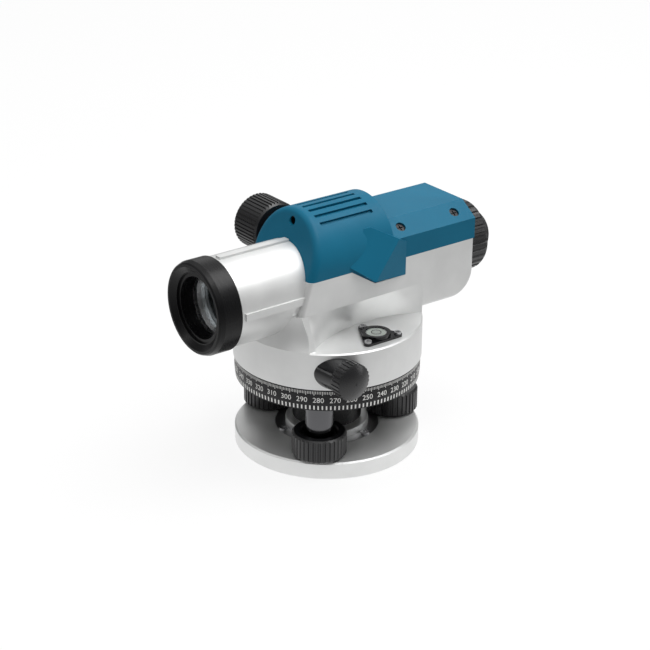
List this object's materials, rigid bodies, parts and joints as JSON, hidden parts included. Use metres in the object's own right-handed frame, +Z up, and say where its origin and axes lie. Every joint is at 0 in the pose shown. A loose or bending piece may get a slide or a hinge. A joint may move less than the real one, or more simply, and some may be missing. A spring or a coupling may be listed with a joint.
{
  "type": "automatic level",
  "caption": "Surveyor's automatic level: a telescope on a turning drum with horizontal circle, circular bubble and fine drive, on a foot-screw base for a tripod.",
  "frame": {"origin": "centre of the tripod thread in the plane of the base plate's underside", "axes": "+Z up along the vertical axis; -Y towards the objective; +X towards the circular bubble; the focusing knob is on -X"},
  "size_m": [0.1252, 0.2014, 0.1465],
  "materials": {
    "silver_paint": "fine satin silver paint on a light-alloy casting",
    "blue_shell": "satin moulded blue plastic",
    "black_ribbed": "satin black moulded plastic, ribbed grip",
    "black_gloss": "glossy black plastic",
    "black_enamel": "black anodised or enamelled light alloy",
    "scale_black": "black anodised ring with white engraved scale",
    "steel": "machined steel",
    "screw_black": "blackened steel",
    "brass": "machined brass",
    "aluminium": "machined light alloy",
    "lens_glass": "polished coated glass",
    "vial_liquid": "pale green spirit",
    "mirror": "silvered glass",
    "nylon": "natural nylon",
    "eyecup_rubber": "soft black rubber"
  },
  "bodies": {
    "base": {"base_plate": "silver_paint", "spring_plate": "steel", "clamp_screws": "steel"},
    "foot_screw_a": {"foot_screw_a": "steel", "foot_knob_a": "black_ribbed"},
    "foot_screw_b": {"foot_screw_b": "steel", "foot_knob_b": "black_ribbed"},
    "foot_screw_c": {"foot_screw_c": "steel", "foot_knob_c": "black_ribbed"},
    "centring": {"centring_ring": "nylon"},
    "levelling_head": {"levelling_head": "black_enamel", "foot_sleeves": "steel", "axis_bush": "brass", "clutch_ring": "steel"},
    "circle": {"horizontal_circle": "scale_black"},
    "clutch": {"worm_wheel": "brass", "friction_washer": "nylon", "clutch_spring": "steel"},
    "telescope": {"housing": "silver_paint", "cover": "blue_shell", "bottom_plate": "steel", "axis_spindle": "steel", "axis_retainer": "steel", "axis_screws": "steel", "drive_bosses": "black_gloss", "objective_ring": "black_enamel", "objective_cell": "aluminium", "objective_lenses": "lens_glass", "lens_retainer": "aluminium", "focus_guide": "black_enamel", "focus_bush": "black_enamel", "comp_frame": "black_enamel", "fixed_prisms": "lens_glass", "suspension_wires": "steel", "eyepiece_tube": "black_enamel", "reticle_ring": "black_enamel", "reticle_glass": "lens_glass", "reticle_screws": "steel", "eyepiece_cover": "black_ribbed", "level_holder": "black_gloss", "level_vial": "lens_glass", "vial_liquid": "vial_liquid", "level_screws": "steel", "cover_screws": "screw_black", "sight_tube": "black_enamel", "bubble_mirror": "mirror"},
    "drive": {"drive_shaft": "steel", "worm": "steel", "drive_knobs": "black_ribbed"},
    "focus": {"focus_shaft": "steel", "focus_pinion": "brass", "focus_knob": "black_ribbed"},
    "focusing_lens": {"focus_slide": "brass", "focus_lens": "lens_glass"},
    "diopter": {"diopter_ring": "black_ribbed", "eyecup": "eyecup_rubber"},
    "ocular": {"eye_cell": "aluminium", "eyepiece_lenses": "lens_glass"},
    "pendulum": {"pendulum_arm": "aluminium", "swinging_prism": "lens_glass"}
  },
  "joints": [
    {"name": "tilt_on_screw_a", "type": "hinge", "parent": "base", "child": "centring", "pos_m": [-0.01518, 0.01415, 0.03], "axis": [-0.682, -0.7314, 0], "range_deg": [-1.55, 1.55]},
    {"name": "tilt_on_screws_b_c", "type": "hinge", "parent": "centring", "child": "levelling_head", "pos_m": [0, 0, 0.03], "axis": [0.7314, -0.682, 0], "range_deg": [-1.55, 1.55]},
    {"name": "foot_screw_a_turn", "type": "hinge", "parent": "base", "child": "foot_screw_a", "pos_m": [0.03035, -0.0283, 0.021], "axis": [0, 0, 1], "range_deg": [-720, 720]},
    {"name": "foot_screw_b_turn", "type": "hinge", "parent": "base", "child": "foot_screw_b", "pos_m": [0.00933, 0.04044, 0.021], "axis": [0, 0, 1], "range_deg": [-420, 420]},
    {"name": "foot_screw_c_turn", "type": "hinge", "parent": "base", "child": "foot_screw_c", "pos_m": [-0.03969, -0.01213, 0.021], "axis": [0, 0, 1], "range_deg": [-420, 420]},
    {"name": "circle_turn", "type": "hinge", "parent": "levelling_head", "child": "circle", "pos_m": [0, 0, 0.05], "axis": [0, 0, 1], "continuous": true},
    {"name": "clutch_slip", "type": "hinge", "parent": "levelling_head", "child": "clutch", "pos_m": [0, 0, 0.0656], "axis": [0, 0, 1], "continuous": true},
    {"name": "fine_turn", "type": "hinge", "parent": "clutch", "child": "telescope", "pos_m": [0, 0, 0.0656], "axis": [0, 0, 1], "continuous": true},
    {"name": "drive_turn", "type": "hinge", "parent": "telescope", "child": "drive", "pos_m": [0, -0.02732, 0.0656], "axis": [1, 0, 0], "continuous": true},
    {"name": "focus_turn", "type": "hinge", "parent": "telescope", "child": "focus", "pos_m": [-0.04, -0.0092, 0.1199], "axis": [1, 0, 0], "range_deg": [-110, 110]},
    {"name": "focus_travel", "type": "slide", "parent": "telescope", "child": "focusing_lens", "axis": [0, 1, 0], "range_m": [-0.007, 0.007]},
    {"name": "diopter_turn", "type": "hinge", "parent": "telescope", "child": "diopter", "pos_m": [0, 0.103, 0.104], "axis": [0, 1, 0], "range_deg": [-150, 150]},
    {"name": "ocular_travel", "type": "slide", "parent": "telescope", "child": "ocular", "axis": [0, 1, 0], "range_m": [-0.0025, 0.0025]},
    {"name": "pendulum_swing", "type": "hinge", "parent": "telescope", "child": "pendulum", "pos_m": [0, 0.034, 0.1178], "axis": [1, 0, 0], "range_deg": [-0.4, 0.4]}
  ],
  "couplings": [
    {"joint": "tilt_on_screw_a", "follows": "foot_screw_a_turn", "ratio": -0.0019175},
    {"joint": "foot_screw_c_turn", "follows": "foot_screw_b_turn", "ratio": -1},
    {"joint": "tilt_on_screws_b_c", "follows": "foot_screw_b_turn", "ratio": -0.0033213},
    {"joint": "drive_turn", "follows": "fine_turn", "ratio": 72},
    {"joint": "focus_travel", "follows": "focus_turn", "m_per_rad": 0.0036},
    {"joint": "ocular_travel", "follows": "diopter_turn", "m_per_rad": 0.0009}
  ]
}
